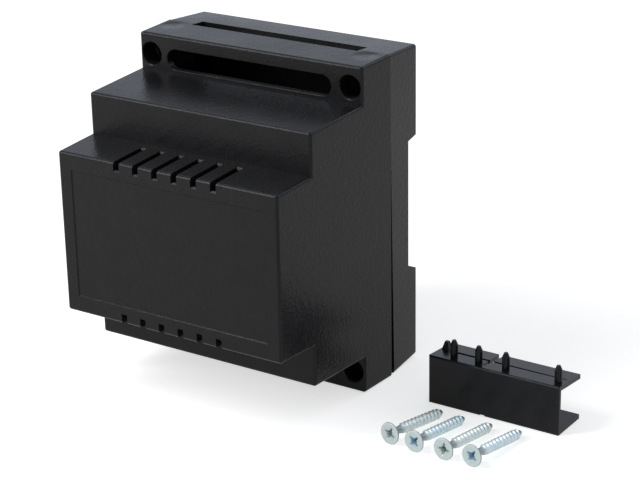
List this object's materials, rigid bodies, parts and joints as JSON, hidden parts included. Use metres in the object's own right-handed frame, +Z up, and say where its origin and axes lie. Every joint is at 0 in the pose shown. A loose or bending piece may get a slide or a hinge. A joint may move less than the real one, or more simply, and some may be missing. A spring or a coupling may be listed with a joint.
{
  "type": "din rail enclosure",
  "caption": "Stepped black housing that clips to a 35 mm rail by its back, with its rail clip and cover screws beside it.",
  "frame": {"origin": "middle of the rail seat's floor in the back, on the rail's centre line", "axes": "+X along the rail, +Y out of the back towards the wall, +Z up across the rail; the stepped front faces -Y"},
  "size_m": [0.1255, 0.0653, 0.0904],
  "materials": {
    "housing_plastic": "fine spark-eroded texture",
    "clip_plastic": "smooth satin",
    "zinc_plated_steel": "bright zinc plating"
  },
  "bodies": {
    "base": {"base": "housing_plastic", "rail_clip": "clip_plastic", "cover_screws": "zinc_plated_steel"},
    "cover": {"cover": "housing_plastic"}
  },
  "joints": [
    {"name": "cover_pull", "type": "slide", "parent": "base", "child": "cover", "axis": [0, -1, 0], "range_m": [0, 0.07]}
  ]
}
